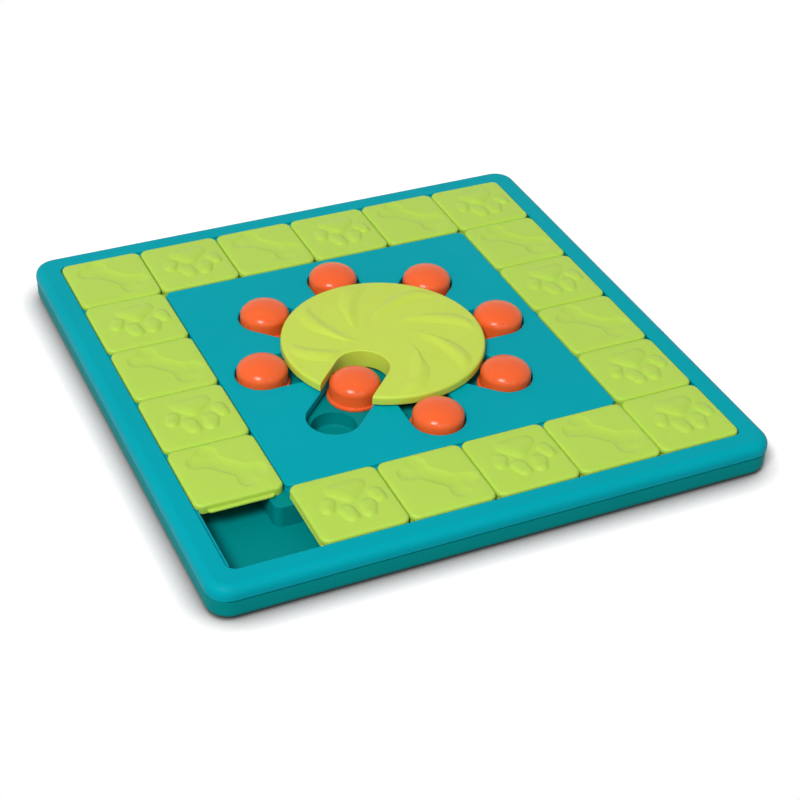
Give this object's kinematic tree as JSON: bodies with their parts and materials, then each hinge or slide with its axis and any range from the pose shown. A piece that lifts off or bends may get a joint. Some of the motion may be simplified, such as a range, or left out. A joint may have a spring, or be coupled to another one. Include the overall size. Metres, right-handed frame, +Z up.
{
  "type": "dog puzzle feeder",
  "caption": "Square treat puzzle board: a ring track of sliding tiles round a panel, with a notched wheel that frees radial sliding knobs covering treat cups.",
  "frame": {"origin": "middle of the board, on the surface it stands on", "axes": "+X to the right along the near side of the board, +Y towards its far side, +Z up; the empty cell of the track is at the near left corner"},
  "size_m": [0.3286, 0.3286, 0.0306],
  "materials": {
    "teal_plastic": "satin injection-moulded plastic, teal",
    "lime_plastic": "satin injection-moulded plastic, lime green",
    "pale_lime_plastic": "satin injection-moulded plastic, yellow-green",
    "orange_plastic": "glossy injection-moulded plastic, orange",
    "screw_steel": "zinc-plated steel screws",
    "black_rubber": "matte dark rubber pads"
  },
  "bodies": {
    "board": {"base_tray": "teal_plastic", "centre_panel": "teal_plastic", "outer_rim": "teal_plastic", "rim_screws": "screw_steel", "panel_screws": "screw_steel", "foot_near_left": "black_rubber", "foot_near_right": "black_rubber", "foot_far_left": "black_rubber", "foot_far_right": "black_rubber"},
    "wheel": {"wheel": "pale_lime_plastic", "axle_screw": "screw_steel", "axle_washer": "screw_steel"},
    "knob_right": {"knob_right": "orange_plastic"},
    "knob_far_right": {"knob_far_right": "orange_plastic"},
    "knob_far": {"knob_far": "orange_plastic"},
    "knob_far_left": {"knob_far_left": "orange_plastic"},
    "knob_left": {"knob_left": "orange_plastic"},
    "knob_near_left": {"knob_near_left": "orange_plastic"},
    "knob_near": {"knob_near": "orange_plastic"},
    "knob_near_right": {"knob_near_right": "orange_plastic"},
    "tile_left_1": {"tile_left_1": "lime_plastic"},
    "tile_left_2": {"tile_left_2": "lime_plastic"},
    "tile_left_3": {"tile_left_3": "lime_plastic"},
    "tile_left_4": {"tile_left_4": "lime_plastic"},
    "tile_corner_far_left": {"tile_corner_far_left": "lime_plastic"},
    "tile_far_1": {"tile_far_1": "lime_plastic"},
    "tile_far_2": {"tile_far_2": "lime_plastic"},
    "tile_far_3": {"tile_far_3": "lime_plastic"},
    "tile_far_4": {"tile_far_4": "lime_plastic"},
    "tile_corner_far_right": {"tile_corner_far_right": "lime_plastic"},
    "tile_right_4": {"tile_right_4": "lime_plastic"},
    "tile_right_3": {"tile_right_3": "lime_plastic"},
    "tile_right_2": {"tile_right_2": "lime_plastic"},
    "tile_right_1": {"tile_right_1": "lime_plastic"},
    "tile_corner_near_right": {"tile_corner_near_right": "lime_plastic"},
    "tile_near_4": {"tile_near_4": "lime_plastic"},
    "tile_near_3": {"tile_near_3": "lime_plastic"},
    "tile_near_2": {"tile_near_2": "lime_plastic"},
    "tile_near_1": {"tile_near_1": "lime_plastic"}
  },
  "joints": [
    {"name": "wheel_turn", "type": "hinge", "parent": "board", "child": "wheel", "pos_m": [0, 0, 0.021], "axis": [0, 0, 1], "range_deg": [-1.2, 1.2]},
    {"name": "knob_right_slide", "type": "slide", "parent": "board", "child": "knob_right", "axis": [1, 0, 0], "range_m": [-0.0003, 0.0003]},
    {"name": "knob_far_right_slide", "type": "slide", "parent": "board", "child": "knob_far_right", "axis": [0.7071, 0.7071, 0], "range_m": [-0.0003, 0.0003]},
    {"name": "knob_far_slide", "type": "slide", "parent": "board", "child": "knob_far", "axis": [0, 1, 0], "range_m": [-0.0003, 0.0003]},
    {"name": "knob_far_left_slide", "type": "slide", "parent": "board", "child": "knob_far_left", "axis": [-0.7071, 0.7071, 0], "range_m": [-0.0003, 0.0003]},
    {"name": "knob_left_slide", "type": "slide", "parent": "board", "child": "knob_left", "axis": [-1, 0, 0], "range_m": [-0.0003, 0.0003]},
    {"name": "knob_near_left_slide", "type": "slide", "parent": "board", "child": "knob_near_left", "axis": [-0.7071, -0.7071, 0], "range_m": [-0.0105, 0.031]},
    {"name": "knob_near_slide", "type": "slide", "parent": "board", "child": "knob_near", "axis": [0, -1, 0], "range_m": [-0.0003, 0.0003]},
    {"name": "knob_near_right_slide", "type": "slide", "parent": "board", "child": "knob_near_right", "axis": [0.7071, -0.7071, 0], "range_m": [-0.0003, 0.0003]},
    {"name": "tile_left_1_slide", "type": "slide", "parent": "board", "child": "tile_left_1", "axis": [0, -1, 0], "range_m": [0, 0.05]},
    {"name": "tile_left_2_slide", "type": "slide", "parent": "board", "child": "tile_left_2", "axis": [0, -1, 0], "range_m": [0, 0.05]},
    {"name": "tile_left_3_slide", "type": "slide", "parent": "board", "child": "tile_left_3", "axis": [0, -1, 0], "range_m": [0, 0.05]},
    {"name": "tile_left_4_slide", "type": "slide", "parent": "board", "child": "tile_left_4", "axis": [0, -1, 0], "range_m": [0, 0.05]},
    {"name": "tile_corner_far_left_slide", "type": "slide", "parent": "board", "child": "tile_corner_far_left", "axis": [0, -1, 0], "range_m": [0, 0.05]},
    {"name": "tile_near_1_slide", "type": "slide", "parent": "board", "child": "tile_near_1", "axis": [1, 0, 0], "range_m": [-0.05, 0]},
    {"name": "tile_near_2_slide", "type": "slide", "parent": "board", "child": "tile_near_2", "axis": [1, 0, 0], "range_m": [-0.05, 0]},
    {"name": "tile_near_3_slide", "type": "slide", "parent": "board", "child": "tile_near_3", "axis": [1, 0, 0], "range_m": [-0.05, 0]},
    {"name": "tile_near_4_slide", "type": "slide", "parent": "board", "child": "tile_near_4", "axis": [1, 0, 0], "range_m": [-0.05, 0]},
    {"name": "tile_corner_near_right_slide", "type": "slide", "parent": "board", "child": "tile_corner_near_right", "axis": [1, 0, 0], "range_m": [-0.05, 0]},
    {"name": "tile_far_1_slide", "type": "slide", "parent": "board", "child": "tile_far_1", "axis": [-1, 0, 0], "range_m": [-0.0003, 0.0003]},
    {"name": "tile_far_2_slide", "type": "slide", "parent": "board", "child": "tile_far_2", "axis": [-1, 0, 0], "range_m": [-0.0003, 0.0003]},
    {"name": "tile_far_3_slide", "type": "slide", "parent": "board", "child": "tile_far_3", "axis": [-1, 0, 0], "range_m": [-0.0003, 0.0003]},
    {"name": "tile_far_4_slide", "type": "slide", "parent": "board", "child": "tile_far_4", "axis": [-1, 0, 0], "range_m": [-0.0003, 0.0003]},
    {"name": "tile_corner_far_right_slide", "type": "slide", "parent": "board", "child": "tile_corner_far_right", "axis": [-1, 0, 0], "range_m": [-0.0003, 0.0003]},
    {"name": "tile_right_1_slide", "type": "slide", "parent": "board", "child": "tile_right_1", "axis": [0, 1, 0], "range_m": [-0.0003, 0.0003]},
    {"name": "tile_right_2_slide", "type": "slide", "parent": "board", "child": "tile_right_2", "axis": [0, 1, 0], "range_m": [-0.0003, 0.0003]},
    {"name": "tile_right_3_slide", "type": "slide", "parent": "board", "child": "tile_right_3", "axis": [0, 1, 0], "range_m": [-0.0003, 0.0003]},
    {"name": "tile_right_4_slide", "type": "slide", "parent": "board", "child": "tile_right_4", "axis": [0, 1, 0], "range_m": [-0.0003, 0.0003]}
  ],
  "couplings": [
    {"joint": "tile_left_2_slide", "follows": "tile_left_1_slide", "ratio": 1},
    {"joint": "tile_left_3_slide", "follows": "tile_left_1_slide", "ratio": 1},
    {"joint": "tile_left_4_slide", "follows": "tile_left_1_slide", "ratio": 1},
    {"joint": "tile_corner_far_left_slide", "follows": "tile_left_1_slide", "ratio": 1},
    {"joint": "tile_near_2_slide", "follows": "tile_near_1_slide", "ratio": 1},
    {"joint": "tile_near_3_slide", "follows": "tile_near_1_slide", "ratio": 1},
    {"joint": "tile_near_4_slide", "follows": "tile_near_1_slide", "ratio": 1},
    {"joint": "tile_corner_near_right_slide", "follows": "tile_near_1_slide", "ratio": 1}
  ]
}
